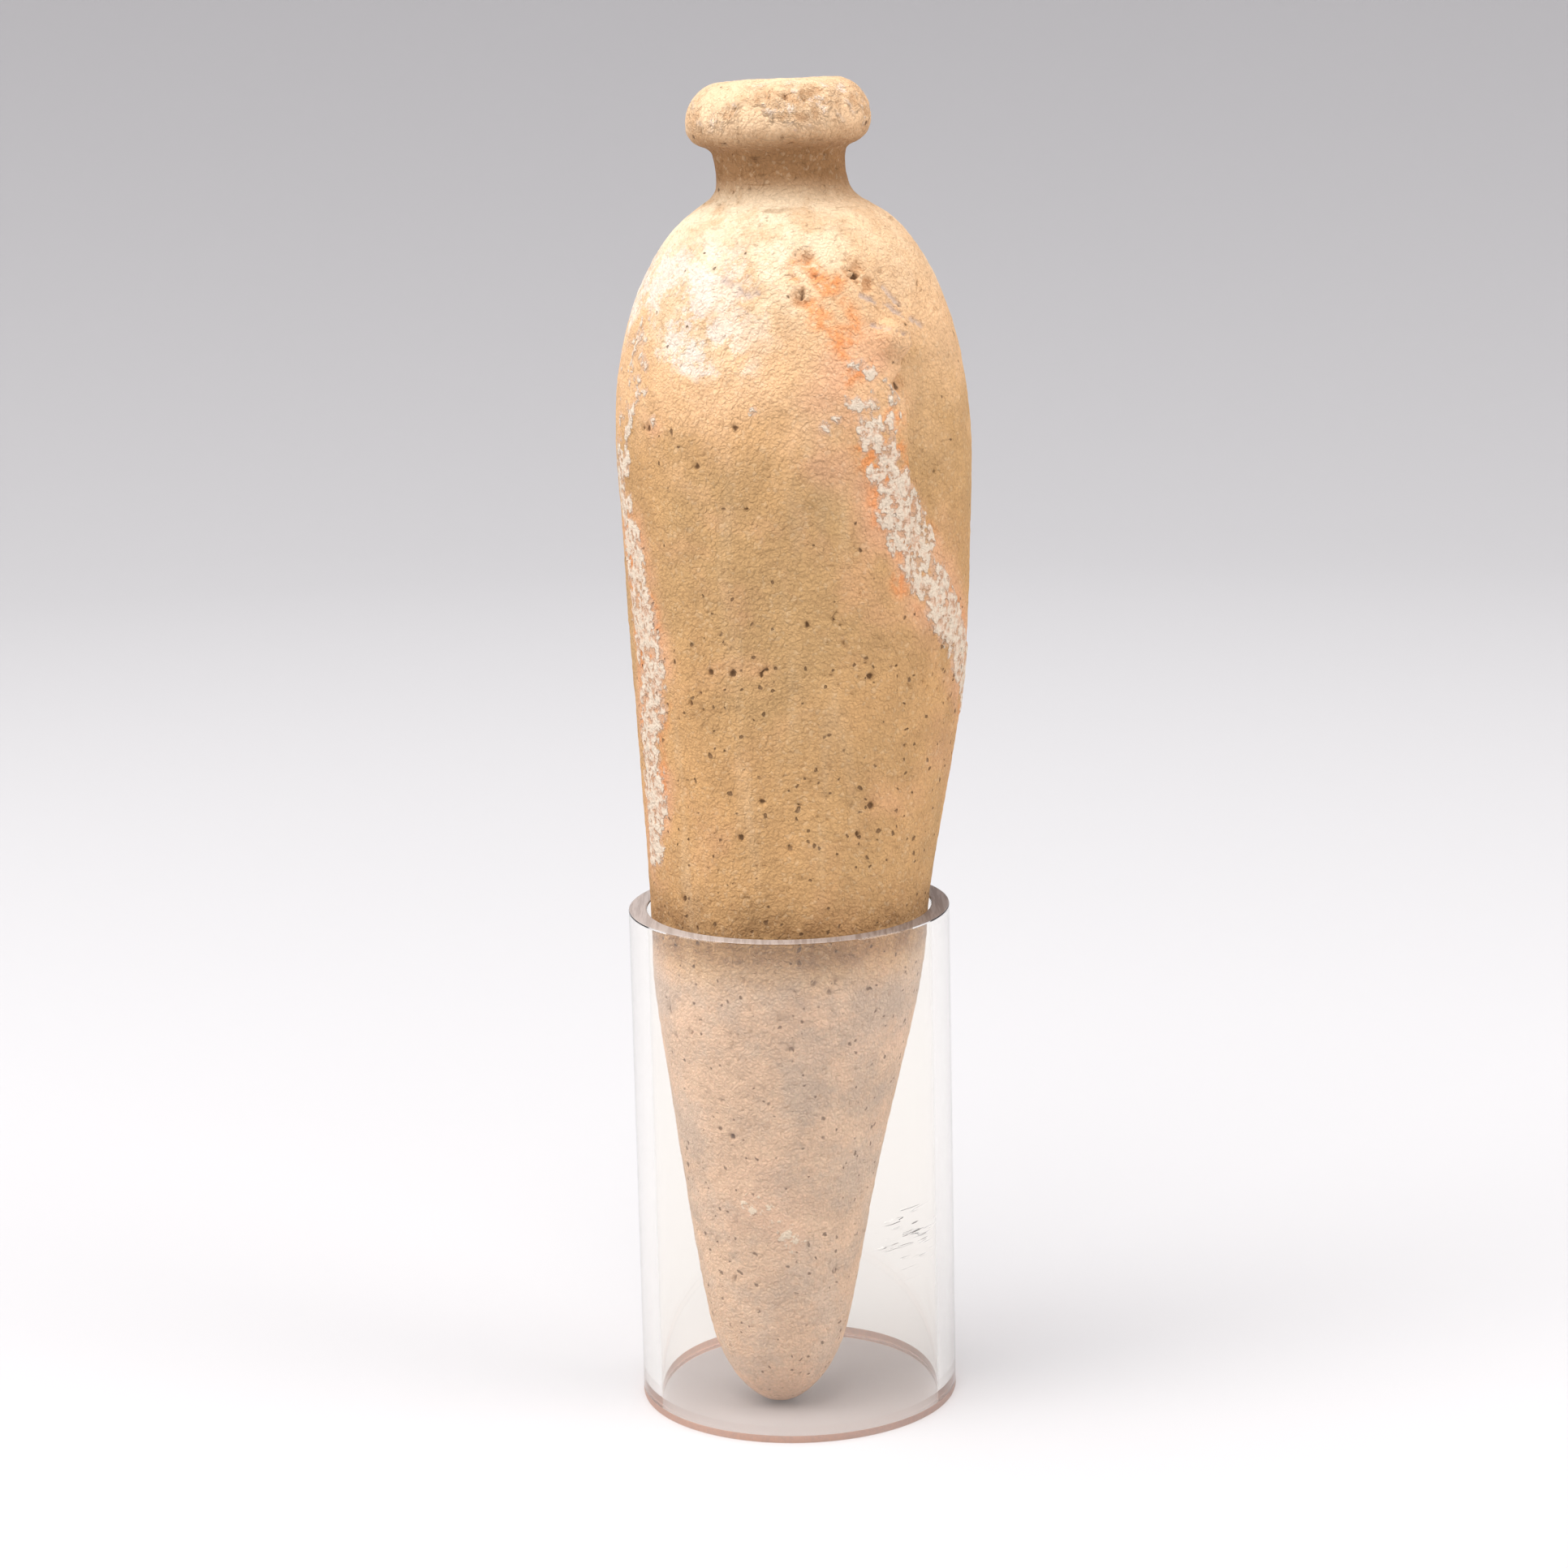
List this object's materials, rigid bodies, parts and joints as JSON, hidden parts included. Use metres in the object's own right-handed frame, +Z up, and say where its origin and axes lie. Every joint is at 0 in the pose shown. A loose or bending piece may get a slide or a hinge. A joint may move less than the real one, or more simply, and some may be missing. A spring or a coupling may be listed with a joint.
{
  "type": "terracotta unguentarium on a clear tube stand",
  "caption": "Slender, crooked terracotta unguentarium with a rolled lip, short neck and pointed toe, standing toe down in a short clear acrylic tube.",
  "frame": {"origin": "on the surface it stands on, under the middle of the object's overall width and depth", "axes": "+Z up through the mouth, +X to the viewer's right and -Y towards the viewer in the picture's view"},
  "size_m": [0.0658, 0.066, 0.2476],
  "materials": {
    "terracotta": "matte",
    "clear_acrylic": "polished"
  },
  "bodies": {
    "root": {"unguentarium": "terracotta", "stand_tube": "clear_acrylic"}
  },
  "joints": []
}
